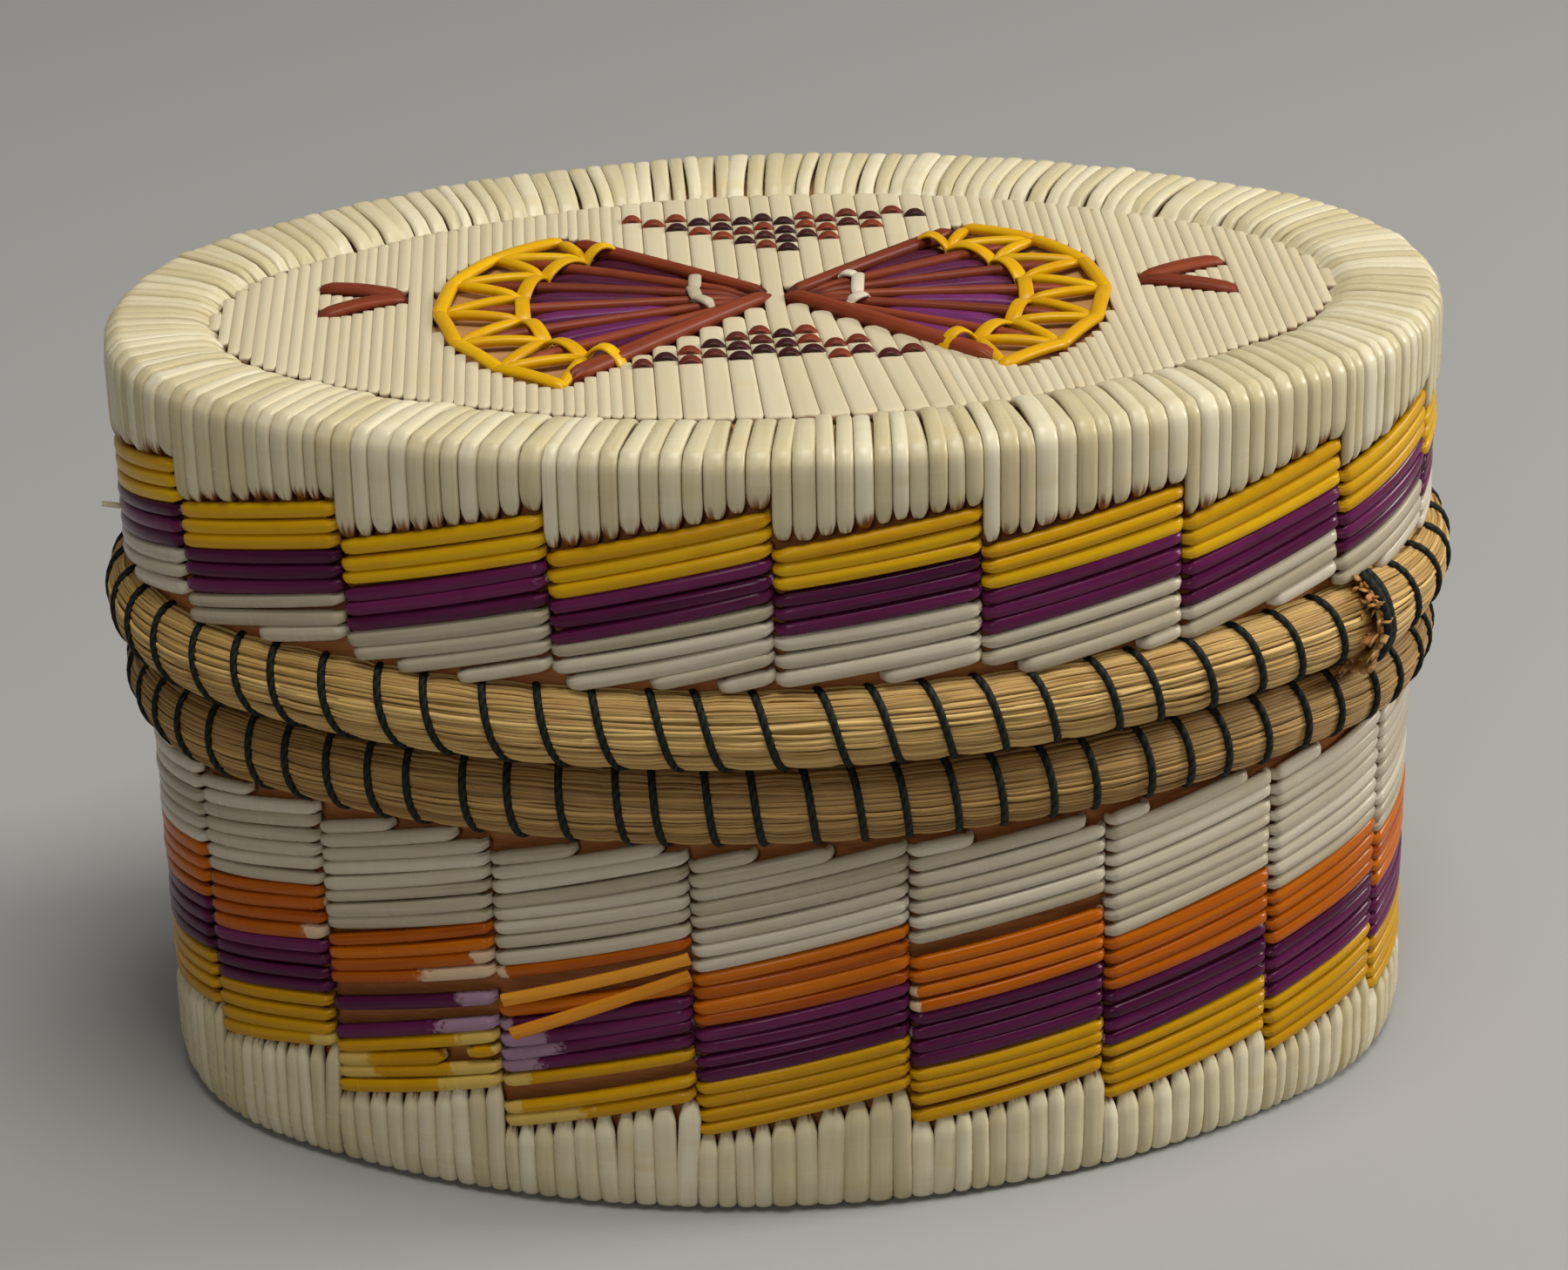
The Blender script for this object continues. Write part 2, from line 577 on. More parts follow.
face = edgeLook["face"] + edgeLook["faceUneven"] * random.normal(size=edgeCount)
edgeCorners = [
    (seam + 0.7, edgeLook["sunk"]), (seam + 0.4, edgeLook["sunk"] + 0.2), (seam - 0.3, top - 0.62),
    (seam - 1.1, top - 0.28), (seam - 3, top - 0.02), (4, top + 0.03), (face + 1.2, top - 0.05),
    (face + 0.95, top - 0.12), (face + 0.3, top - 0.75), (face + 0.14, top - 1.0), (face, top - 2.2),
    (face - 0.02, foot + 2.5), (face + 0.03, foot + 1.1), (face + 0.25, foot + 0.45),
    (face + 0.75, foot + 0.05), (1.6, foot - 0.1),
]
inset, height, travelled, toTip = profileLine(edgeCorners, [2, 2, 2, 3, 4, 4, 1, 2, 1, 2, 4, 2, 2, 2, 2])
slant = edgeLook["slant"] + edgeLook["slantUneven"] * random.normal(size=edgeCount)
angle = angleAt(distance[:, None] + slant[:, None] * (inset - edgeLook["face"]), lidColumns["inset"])
pinch = 1 - smooth(0, edgeLook["tipZone"], toTip)
atSeam = 1 - smooth(0, edgeLook["seamZone"], travelled)
halfWide = 0.5 * size[:, None] * roomAt(angle, inset, lidColumns) * edgeLook["wideShare"]
halfWide = halfWide * (1 - edgeLook["tipPinch"] * pinch ** 1.3) * (1 + edgeLook["seamWiden"] * atSeam)
thinned = edgeLook["seamThin"] * (1 - smooth(0, edgeLook["thinZone"], travelled))
halfHigh = edgeLook["halfHigh"] * (1 - edgeLook["tipThin"] * pinch) * (1 - thinned)
stained = 1.3 + 1.6 * random.random(edgeCount)[:, None]
mark = np.clip(1.2 - toTip / stained, 0, 1) * (0.7 + 0.5 * random.random(edgeCount)[:, None])
high = awayFromBark(angle, inset, height)
path = onWall(angle, inset, height)
edgeParts = [sweep(path, high, halfWide, halfHigh, random.random(edgeCount), mark, sides=14, power=0.62)]

# One broken quill stands out of the lid's left side
stub = {
    "angle": 185.0, "height": 61.0, "rise": 0.5, "inset": 0.6, "out": 1.7, "halfWide": 0.4, "halfHigh": 0.2,
    "steps": 6,
}
part = np.linspace(0, 1, stub["steps"])[None]
stubInset = np.linspace(stub["inset"], -stub["out"], stub["steps"])[None]
stubAngle = np.full(part.shape, math.radians(stub["angle"]))
path = onWall(stubAngle, stubInset, stub["height"] + stub["rise"] * part)
high = np.broadcast_to(upright, path.shape)
edgeParts.append(sweep(path, high, stub["halfWide"], stub["halfHigh"], np.array([0.4])))
addPiece("lidEdgeQuills", edgeParts, quillLooks["cream"], "lid", ["lid_edge_quills"])

# Foot quills start in a pinched tip under the yellow rows, widen downwards and turn in below the wall
footLook = {
    "perColumn": 10, "face": 1.72, "floor": 0.74, "tipGap": 0.05, "ragged": 0.35, "lean": 0.025,
    "leanFrom": 5, "wideShare": 1.06, "halfHigh": 0.62, "tipZone": 2.6, "tipPinch": 0.45, "tipThin": 0.35,
    "faceUneven": 0.05,
}
distance, climb, size = uprightPlaces(baseColumns, baseEdges, footLook["perColumn"])
footCount = len(distance)
tip = baseSide["foot"] + climb - footLook["tipGap"] - footLook["ragged"] * random.random(footCount)
face = footLook["face"] + footLook["faceUneven"] * random.normal(size=footCount)
footCorners = [
    (2.9, tip + 0.2), (2.3, tip - 0.05), (face + 0.25, tip - 0.5), (face, tip - 1.7), (face - 0.05, 3.4),
    (face + 0.12, 1.9), (2.1, 1.0), (2.9, footLook["floor"]), (4.3, footLook["floor"]),
]
inset, height, travelled, _ = profileLine(footCorners, [2, 2, 4, 6, 3, 3, 3, 3])
lean = footLook["lean"] * random.normal(size=footCount)
angle = angleAt(distance[:, None] + lean[:, None] * (height - footLook["leanFrom"]), baseColumns["inset"])
pinch = 1 - smooth(0, footLook["tipZone"], travelled)
halfWide = 0.5 * size[:, None] * roomAt(angle, inset, baseColumns) * footLook["wideShare"]
halfWide = halfWide * (1 - footLook["tipPinch"] * pinch)
halfHigh = footLook["halfHigh"] * (1 - footLook["tipThin"] * pinch)
mark = (0.3 + 0.6 * random.random(footCount)[:, None]) * (1 - smooth(0.3, 1.8, travelled))
high = awayFromBark(angle, inset, height)
path = onWall(angle, inset, height)
footParts = [sweep(path, high, halfWide, halfHigh, random.random(footCount), mark, sides=12, power=0.8)]
addPiece("baseFootQuills", footParts, quillLooks["cream"], "base", ["base_foot_quills"])

# Fans: each has a point, ribs between a front and a back angle, and a reach to the chain round their ends,
# which shortens towards its sides. White strokes are places from the point, along and across the fan.
fans = [
    {"point": (-0.2, 1.0), "way": -1, "front": 44.3, "back": 40.5, "reach": (29.2, 32.0, 26.4),
     "strokes": [((7.2, 5.0), (7.4, 1.4)), ((7.7, 2.0), (7.3, -1.4)), ((7.5, -0.8), (5.9, -3.0))]},
    {"point": (1.0, 1.0), "way": 1, "front": 45.0, "back": 41.0, "reach": (27.6, 30.8, 25.0),
     "strokes": [((5.6, 3.9), (7.4, 3.0)), ((7.4, 3.8), (6.9, -1.6)), ((6.0, -3.4), (7.9, -1.7))]},
]
fanLook = {
    "ribs": 7, "bark": 78.05, "ribWide": 0.6, "ribHigh": 0.55, "ribFrom": 2.4, "sideWide": 0.92,
    "sideHigh": 0.8, "sideFrom": 0.3, "purpleFrom": 8.5, "purpleWide": 0.95, "purpleHigh": 0.4,
    "purpleAside": 0.2, "purpleTint": [0.0, 0.1, 0.4, 0.6, 0.65, 0.65], "tieShare": 0.75, "tieWide": 0.72,
    "tieHigh": 0.22, "petalWide": 0.62, "petalHigh": 0.48, "chainWide": 0.74, "chainHigh": 0.5,
    "chainOver": 0.4, "strokeWide": 0.66, "strokeHigh": 0.26,
}
bark = fanLook["bark"]
last = fanLook["ribs"] - 1


# Angle of a place between the ribs, which are numbered from the front
def fanAngle(fan, place):
    share = np.asarray(place, float) / last
    return np.radians(-fan["front"] + (fan["front"] + fan["back"]) * share)


# Distance from the point to the chain, which falls off with the square of the place from the middle rib
def fanReach(fan, place):
    share = np.asarray(place, float) / last
    front, middle, back = fan["reach"]
    toFront = np.clip(1 - 2 * share, 0, 1) ** 2
    toBack = np.clip(2 * share - 1, 0, 1) ** 2
    return middle + (front - middle) * toFront + (back - middle) * toBack


# Place in plan at a distance and an angle from a fan's point
def fanSpot(fan, radius, angle):
    x, y = fan["point"]
    return np.stack([x + fan["way"] * radius * np.cos(angle), y + radius * np.sin(angle)], -1)


# Quills laid on the lid between plan places: they arch up by arch, sink within sinkZone of their ends and
# narrow there by the shares in narrow; taper is the share of their width at each end, belly swells them in
# the middle. Bend moves the places, and the widths with them.
def laidQuills(start, stop, base, halfWide, halfHigh, arch=0.1, sinkZone=0.8, sink=0.9, narrow=(0.4, 0.4),
               taper=(1, 1), belly=0.0, marks=0.7, tint=0.0, steps=16, sides=10, power=0.85, bend=None):
    start, stop = np.asarray(start, float), np.asarray(stop, float)
    base, halfWide, halfHigh, marks, tint = (
        np.asarray(value, float).reshape(-1, 1) for value in (base, halfWide, halfHigh, marks, tint))
    count = len(start)
    share = endDense(steps)[None]
    hump = 4 * share * (1 - share)
    flat = start[:, None] + (stop - start)[:, None] * share[..., None]
    spread = 1.0
    nudge = 0.01
    if bend:
        spread = (bend(flat + [nudge, 0]) - bend(flat))[..., 0] / nudge
        flat = bend(flat)
    length = np.linalg.norm(stop - start, axis=1)[:, None]
    startSunk = 1 - smooth(0, sinkZone, share * length)
    stopSunk = 1 - smooth(0, sinkZone, (1 - share) * length)
    sunk = np.maximum(startSunk, stopSunk)
    z = base + arch * hump - sink * sunk ** 1.5
    path = np.concatenate([flat, np.broadcast_to(z, (count, steps))[..., None]], -1)
    shape = (taper[0] + (taper[1] - taper[0]) * share) * (1 + belly * (hump - 1))
    shape = shape * (1 - narrow[0] * startSunk) * (1 - narrow[1] * stopSunk)
    high = halfHigh * (0.4 + 0.6 * shape)
    up = np.broadcast_to(upright, path.shape)
    mark = np.maximum(marks * sunk, tint)
    wide = halfWide * shape * spread
    return sweep(path, up, wide, high, random.random(count), mark, sides=sides, power=power)


ribParts, purpleParts, yellowParts, whiteParts = [], [], [], []
for fan in fans:
    inner = np.arange(1, last)
    angle = fanAngle(fan, inner)
    ribParts.append(laidQuills(
        fanSpot(fan, fanLook["ribFrom"], angle), fanSpot(fan, fanReach(fan, inner) - 2.0, angle), bark + 0.5,
        fanLook["ribWide"], fanLook["ribHigh"],
        sinkZone=3.2, sink=0.35, narrow=(0.3, 0.85), taper=(0.8, 1.1), steps=24))
    outer = np.array([0, last])
    angle = fanAngle(fan, outer)
    ribParts.append(laidQuills(
        fanSpot(fan, fanLook["sideFrom"], angle), fanSpot(fan, fanReach(fan, outer) - 1.2, angle),
        bark + np.array([0.9, 0.75]), fanLook["sideWide"] * np.array([1.0, 0.8]),
        fanLook["sideHigh"] * np.array([1.0, 0.85]),
        sinkZone=1.8, sink=0.5, narrow=(0.35, 0.7), taper=(0.85, 1.08), marks=[0.5, 2.0], steps=24))
    gap = np.arange(last) + 0.5
    for aside in (-fanLook["purpleAside"], fanLook["purpleAside"]):
        angle = fanAngle(fan, gap + aside)
        purpleParts.append(laidQuills(
            fanSpot(fan, fanLook["purpleFrom"], angle),
            fanSpot(fan, fanLook["tieShare"] * fanReach(fan, gap), angle), bark + 0.2,
            fanLook["purpleWide"], fanLook["purpleHigh"], sinkZone=3.5, sink=0.3, narrow=(0.7, 0.2),
            taper=(0.55, 1.15), marks=0.9, tint=fanLook["purpleTint"], steps=14))
    # Ties run over each rib from the gap before it to the gap after it; two petals run from each tie's ends
    # to the chain's corner outside the rib
    joint = fanSpot(fan, fanLook["tieShare"] * fanReach(fan, gap) + 0.3, fanAngle(fan, gap))
    beyondAngle = fanAngle(fan, outer) + np.radians([-3.3, 2.6])
    beyond = fanSpot(fan, fanLook["tieShare"] * fanReach(fan, outer) - 0.2, beyondAngle)
    joints = np.concatenate([beyond[:1], joint, beyond[1:]])
    tieBase = bark + np.array([0.45] + [0.35] * (last - 1) + [0.4])
    tieArch = np.array([1.7] + [1.05] * (last - 1) + [1.4])[:, None]
    yellowParts.append(laidQuills(
        joints[:-1], joints[1:], tieBase, fanLook["tieWide"], fanLook["tieHigh"], arch=tieArch,
        sinkZone=0.5, sink=0.3, narrow=(0.1, 0.3), belly=-0.12, marks=0.0, power=0.6))
    ribs = np.arange(fanLook["ribs"])
    corner = fanSpot(fan, fanReach(fan, ribs), fanAngle(fan, ribs - 0.08))
    yellowParts.append(laidQuills(
        np.concatenate([corner[:-1], corner[1:]]), np.concatenate([joint, joint]), bark + 0.62,
        fanLook["petalWide"], fanLook["petalHigh"], arch=0.3, sinkZone=1.6, sink=0.25, narrow=(0.45, 0.35),
        belly=0.12, marks=0.0))
    over = fanLook["chainOver"] * unit(corner[1:] - corner[:-1])
    yellowParts.append(laidQuills(
        corner[:-1] - over, corner[1:] + over, bark + 0.75, fanLook["chainWide"], fanLook["chainHigh"],
        arch=0.2, sinkZone=0.6, sink=0.35, narrow=(0.25, 0.25), marks=0.0))
    # White strokes tie the ribs together near the point
    strokes = np.array(fan["strokes"]) * np.array([fan["way"], 1]) + np.array(fan["point"])
    whiteParts.append(laidQuills(
        strokes[:, 0], strokes[:, 1], bark + 1.2, fanLook["strokeWide"], fanLook["strokeHigh"], arch=0.2,
        sinkZone=0.7, sink=0.3, narrow=(0.3, 0.4), marks=0.0))
addPiece("fanRibs", ribParts, quillLooks["rib"], "lid", ["fan_ribs"])
addPiece("fanPurpleQuills", purpleParts, quillLooks["fanPurple"], "lid", ["fan_purple_quills"])
addPiece("fanLattice", yellowParts, quillLooks["lattice"], "lid", ["fan_lattice"])
addPiece("fanWhiteTies", whiteParts, quillLooks["white"], "lid", ["fan_white_ties"])

# Vee marks: two quills that meet at a point towards the lid's middle
vees = [
    {"point": (-35.4, 4.6), "ends": [(-44.2, 7.8), (-43.9, 0.2)]},
    {"point": (35.4, 1.6), "ends": [(44.3, 5.9), (44.7, -2.6)]},
]
veeLook = {"base": bark + 0.6, "halfWide": 1.05, "halfHigh": 0.55, "arch": 0.35, "sinkZone": 1.4, "sink": 0.6}
veeStart = np.repeat([vee["point"] for vee in vees], 2, axis=0)
veeStop = np.concatenate([vee["ends"] for vee in vees])
veeParts = [laidQuills(veeStart, veeStop, **veeLook)]
addPiece("veeQuills", veeParts, quillLooks["rib"], "lid", ["vee_quills"])

# Field quills run front to back, in pairs of uneven width or one wide quill for a pair under the check
# stitches, and stop at the border, the fans and the vee marks. In front of the right fan they splay outwards
# by a slope that grows from the middle and dies away to the right.
fieldLook = {
    "halfSpan": 54.0, "pairs": 49, "pair": 2.2, "uneven": 0.07, "aside": 0.246, "narrowHalf": 0.256,
    "wideHalf": 0.495, "seam": 10.35, "endGap": 0.1, "shortest": 0.9, "boundLength": 8, "frontRuns": -12,
    "base": 78.6, "halfHigh": 0.3, "ribClear": 0.7, "chainClear": 0.55, "pointClear": 1.2, "veeClear": 0.9,
    "veePoint": 0.5, "veeEnd": 0.8, "splay": 0.12, "splayFrom": -8.0, "splayMost": 9.0, "splayTo": 46.0,
    "splayAhead": 4.0, "narrowest": 1.9, "widest": 2.6, "endUneven": 0.1, "unlevel": 0.025,
}
laidFlat = {"arch": 0.03, "sinkZone": 0.9, "sink": 0.25, "marks": 0.9, "steps": 24}
pairWidths = fieldLook["pair"] * (1 + fieldLook["uneven"] * random.normal(size=fieldLook["pairs"]))
pairWidths = np.clip(pairWidths, fieldLook["narrowest"], fieldLook["widest"])
pairWidths *= 2 * fieldLook["halfSpan"] / pairWidths.sum()
pairPlaces = np.cumsum(pairWidths) - pairWidths / 2 - fieldLook["halfSpan"]
outline = onWall(np.linspace(0, fullTurn, 2001), fieldLook["seam"], 0.0)[:, :2]


# Moves places in front of the fan outwards by the slope times how far ahead of it they lie
def splayed(places):
    x, y = places[..., 0], places[..., 1]
    grows = smooth(fieldLook["splayFrom"], fieldLook["splayMost"], x)
    fades = 1 - smooth(fieldLook["splayMost"], fieldLook["splayTo"], x)
    ahead = np.maximum(-fieldLook["splayAhead"] - y, 0)
    return np.stack([x + fieldLook["splay"] * (grows * fades) * ahead, y], -1)


# Closed outline a little outside a fan's side ribs and chain
def fanOutline(fan):
    places = np.linspace(0, last, 100)
    rim = fanSpot(fan, fanReach(fan, places) + fieldLook["chainClear"], fanAngle(fan, places))
    sides = []
    for rib, sign in ((0, -1), (last, 1)):
        angle = fanAngle(fan, rib)
        aside = sign * fieldLook["ribClear"] * np.array([-fan["way"] * math.sin(angle), math.cos(angle)])
        sides.append(fanSpot(fan, np.array([fieldLook["pointClear"], fanReach(fan, rib)]), angle) + aside)
    return np.concatenate([sides[0], rim, sides[1][::-1], sides[0][:1]])


# Closed outline of the bare place under one arm of a vee mark
def veeArm(point, end):
    along = unit(np.array(end) - np.array(point))
    aside = fieldLook["veeClear"] * np.array([-along[1], along[0]])
    first = np.array(point) + fieldLook["veePoint"] * along
    second = np.array(end) - fieldLook["veeEnd"] * along
    return np.array([first + aside, second + aside, second - aside, first - aside, first + aside])


# Lowest and highest place where the line at x crosses a closed outline
def crossed(points, x):
    before, after = points[:-1], points[1:]
    hit = (before[:, 0] - x) * (after[:, 0] - x) < 0
    share = (x - before[hit, 0]) / (after[hit, 0] - before[hit, 0])
    y = before[hit, 1] + share * (after[hit, 1] - before[hit, 1])
    return (y.min(), y.max()) if len(y) else None


# Stretches between low and high that no cut covers
def freeRuns(low, high, cuts):
    runs = []
    for start, stop in sorted(cuts):
        if start > low:
            runs.append((low, min(start, high)))
        low = max(low, stop)
    if high > low:
        runs.append((low, high))
    return runs


# Check stitches: short dark quills arched over pairs of field quills in two stepped triangles; near is the
# place of the middle's first stitch from front to back and slope moves it towards the triangle's ends
checks = [
    {"middle": -0.6, "near": -14.4, "slope": -0.27, "pitch": 2.4,
     "counts": [1, 1, 2, 2, 3, 3, 3, 3, 2, 2, 1, 1]},
    {"middle": 1.6, "near": 21.6, "slope": 0.16, "pitch": -2.5,
     "counts": [1, 1, 2, 2, 3, 3, 4, 4, 3, 3, 2, 2, 1, 1]},
]
for check in checks:
    check["centre"] = (len(check["counts"]) - 1) / 2
    fromFirst = pairPlaces - check["middle"] + fieldLook["pair"] * check["centre"]
    check["first"] = int(np.argmin(np.abs(fromFirst)))

cutters = [fanOutline(fan) for fan in fans]
cutters += [veeArm(vee["point"], end) for vee in vees for end in vee["ends"]]
flatRuns, roundRuns = [], []
for pair, (middle, width) in enumerate(zip(pairPlaces, pairWidths)):
    for side in (-1, 0, 1):
        x = middle + side * fieldLook["aside"] * width
        edge = crossed(outline, x)
        if edge is None:
            continue
        cuts = [hit for hit in (crossed(cutter, x) for cutter in cutters) if hit]
        for low, high in freeRuns(edge[0] + fieldLook["endGap"], edge[1] - fieldLook["endGap"], cuts):
            check = checks[0] if low < fieldLook["frontRuns"] else checks[1]
            stitched = 0 <= pair - check["first"] < len(check["counts"])
            bound = stitched and high - low > fieldLook["boundLength"]
            runs = roundRuns if bound else flatRuns
            if bound == (side == 0) and high - low > fieldLook["shortest"]:
                runs.append((x, low, x, high, width))
flatRuns, roundRuns = np.array(flatRuns), np.array(roundRuns)
flatRuns[:, [1, 3]] += fieldLook["endUneven"] * random.normal(size=(len(flatRuns), 2))
flatBase = fieldLook["base"] + fieldLook["unlevel"] * random.normal(size=len(flatRuns))
fieldParts = [
    laidQuills(flatRuns[:, :2], flatRuns[:, 2:4], flatBase, fieldLook["narrowHalf"] * flatRuns[:, 4],
               fieldLook["halfHigh"], narrow=(0.5, 0.5), power=0.32, bend=splayed, **laidFlat),
    laidQuills(roundRuns[:, :2], roundRuns[:, 2:4], fieldLook["base"] - 0.02,
               fieldLook["wideHalf"] * roundRuns[:, 4], fieldLook["halfHigh"] + 0.07, narrow=(0.35, 0.35),
               sides=14, power=0.55, bend=splayed, **laidFlat),
]
addPiece("lidFieldQuills", fieldParts, quillLooks["field"], "lid", ["lid_field_quills"])

checkLook = {
    "halfWide": 0.76, "halfHigh": 0.2, "steps": 15, "top": 79.25, "drop": 0.85, "stagger": 0.45,
    "uneven": 0.08, "endNarrow": 0.3,
}
across = np.linspace(-1, 1, checkLook["steps"])
level = 0 * across
arched = checkLook["top"] - checkLook["drop"] * np.abs(across) ** 2.5
paths = []
for check in checks:
    for place, stitches in enumerate(check["counts"]):
        pair = check["first"] + place
        x = pairPlaces[pair] + 0.5 * pairWidths[pair] * across
        nearest = check["near"] + check["slope"] * abs(place - check["centre"])
        for stitch in range(stitches):
            y = nearest + check["pitch"] * (stitch + place % 2 * checkLook["stagger"])
            y = y + checkLook["uneven"] * random.normal()
            paths.append(np.concatenate([splayed(np.stack([x, y + level], -1)), arched[:, None]], 1))
paths = np.array(paths)
tilt = np.broadcast_to(np.stack([0.8 * across, level, 1 + level], -1), paths.shape)
halfWide = checkLook["halfWide"] * (1 - checkLook["endNarrow"] * across ** 4)[None]
seeds = random.random(len(paths))
checkParts = [sweep(paths, tilt, halfWide, checkLook["halfHigh"], seeds, sides=8, power=0.8)]
addPiece("checkStitches", checkParts, quillLooks["check"], "lid", ["check_stitches"])
print("made lid ornament")

# Sweetgrass rims: strands laid side by side over a half-round core. A strand keeps its place round the
# section with a slow sway, and the stitches draw the bundle in. Each bundle runs once round from its splice;
# the lid's starts there in a frayed cut end that stands proud of its other end.
rims = {
    "lid": {
        "height": 52.4, "back": 0.95, "depth": 2.75, "half": 3.6, "stitches": 64, "slant": 3.0, "start": 2.2,
        "tone": 0.0, "splice": 57.3, "proud": 1.2, "loops": [0.9, 1.6],
    },
    "base": {
        "height": 44.0, "back": 2.2, "depth": 2.75, "half": 3.6, "stitches": 72, "slant": 1.5, "start": 0.1,
        "tone": 1.0, "splice": 200.0, "proud": 0.0, "loops": [],
    },
}
strandLook = {
    "count": 66, "steps": 330, "halfWide": 0.2, "halfHigh": 0.17, "spread": 1.92, "lead": 0.35, "pinch": 0.22,
    "pinchWidth": 0.16, "settle": 6.0, "swaySizes": np.array([0.03, 0.025, 0.02, 0.016, 0.012, 0.01]),
    "swayTurns": np.array([2, 3, 5, 8, 13, 17]), "uneven": 0.02, "lift": 0.05, "ripple": 0.03, "swell": 0.15,
}
coreLook = {
    "count": 15, "steps": 121, "halfWide": 0.75, "halfHigh": 0.2, "spread": 2.1, "sunk": 0.35, "lead": 0.15,
}
frayLook = {
    "count": 90, "steps": 9, "halfWide": 0.6, "halfHigh": 0.1, "spread": 1.95, "inside": 2.0, "shortest": 0.1,
    "longest": 1.7, "splay": 0.7, "curl": 0.16, "curls": 7,
}
threadLook = {"radius": 0.38, "steps": 22, "turn": 1.98, "frontShare": 0.68, "wobble": 0.35, "over": 0.16}
loopLook = {"radius": 0.5, "steps": 25, "slant": 0.25, "over": 0.2}
rimLength = ovalLength(0.0)


# Place on a bundle: travel is the distance from its splice, section the angle round its half-round front, and
# out the height over its surface, less what the nearest stitch draws in, plus what stands proud at the splice
def rimSpot(rim, travel, section, out):
    distance = rim["splice"] + travel
    angle = angleAt(distance, 0.0)
    stitch = (distance - rim["start"] + rim["slant"] * section / math.pi) / (rimLength / rim["stitches"])
    fromStitch = (stitch + 0.5) % 1.0 - 0.5
    drawn = strandLook["pinch"] * np.exp(-(fromStitch / strandLook["pinchWidth"]) ** 2)
    proud = rim["proud"] * np.exp(-(travel % rimLength) / strandLook["settle"]) * (travel < rimLength)
    out = out - drawn + proud
    inset = rim["back"] - (rim["depth"] + out) * np.cos(section)
    return onWall(angle, inset, rim["height"] + (rim["half"] + out) * np.sin(section)), angle


# Direction out of a bundle at an angle round its section
def rimHigh(angle, section):
    return outward(angle) * np.cos(section)[..., None] + np.sin(section)[..., None] * upright


# Strands side by side round the section; each one's sway is a sum of slow waves round the box
def strandSweep(rim):
    count = strandLook["count"]
    lead = strandLook["lead"] * random.random((count, 1))
    travel = lead + (rimLength - lead) * np.linspace(0, 1, strandLook["steps"])
    seat = np.linspace(-strandLook["spread"], strandLook["spread"], count)[:, None]
    wave = random.normal(size=(count, 6, 2)) * strandLook["swaySizes"][None, :, None]
    turns = strandLook["swayTurns"][None, :, None] * fullTurn * travel[:, None] / rimLength
    sway = (wave[:, :, :1] * np.cos(turns) + wave[:, :, 1:] * np.sin(turns)).sum(1)
    section = seat + sway + strandLook["uneven"] * random.normal(size=seat.shape)
    lift = strandLook["lift"] * random.normal(size=seat.shape)
    lift = lift + strandLook["ripple"] * np.sin(turns[:, 4] + 6.28 * random.random(seat.shape))
    path, angle = rimSpot(rim, travel, section, lift)
    halfWide = strandLook["halfWide"] * (0.7 + 0.8 * random.random(seat.shape))
    halfWide = halfWide * (1 + strandLook["swell"] * np.sin(turns[:, 3] + 6.28 * random.random(seat.shape)))
    mark = np.full(travel.shape, rim["tone"])
    if rim["proud"]:
        mark[:, 0] = 2.0
    high = rimHigh(angle, section)
    return sweep(path, high, halfWide, strandLook["halfHigh"], random.random(count), mark, sides=4, power=1.0)


# Broad ribbons that fill the bundle just below its strands
def coreSweep(rim):
    count = coreLook["count"]
    part = np.linspace(0, 1, coreLook["steps"])[None]
    section = np.linspace(-coreLook["spread"], coreLook["spread"], count)[:, None] + 0 * part
    travel = coreLook["lead"] + (rimLength - coreLook["lead"]) * part + 0 * section
    path, angle = rimSpot(rim, travel, section, -coreLook["sunk"])
    high = rimHigh(angle, section)
    return sweep(path, high, coreLook["halfWide"], coreLook["halfHigh"], random.random(count), rim["tone"],
                 sides=4, power=1.0)


# Frayed ribbons start inside the bundle, run past its cut end, splay and curl
def fraySweep(rim):
    shape = (frayLook["count"], 1)
    part = np.linspace(0, 1, frayLook["steps"])[None]
    section = frayLook["spread"] * (2 * random.random(shape) - 1) + 0 * part
    reach = frayLook["shortest"] + (frayLook["longest"] - frayLook["shortest"]) * random.random(shape)
    deep = rim["depth"] * (np.sqrt(random.random(shape)) - 1) + 0.2
    travel = frayLook["inside"] - (frayLook["inside"] + reach) * part
    path, angle = rimSpot(rim, np.maximum(travel, 0), section, deep + frayLook["splay"] * part ** 2)
    along = np.stack([-np.sin(angle), np.cos(angle), 0 * angle], -1)
    path = path + along * np.minimum(travel, 0)[..., None]
    roll = fullTurn * random.random(shape) + 0 * part
    curl = frayLook["curl"] * np.sin(frayLook["curls"] * part + 6.28 * random.random(shape)) * part
    path = path + curl[..., None] * rimHigh(angle, section + 1.57)
    tone = 1 + smooth(0.25, 0.6, part) * (0.2 + 0.8 * random.random(shape))
    halfWide = frayLook["halfWide"] * (1 - 0.4 * part)
    seed = random.random(frayLook["count"])
    return sweep(path, rimHigh(angle, roll), halfWide, frayLook["halfHigh"], seed, tone, sides=6, power=1.0)


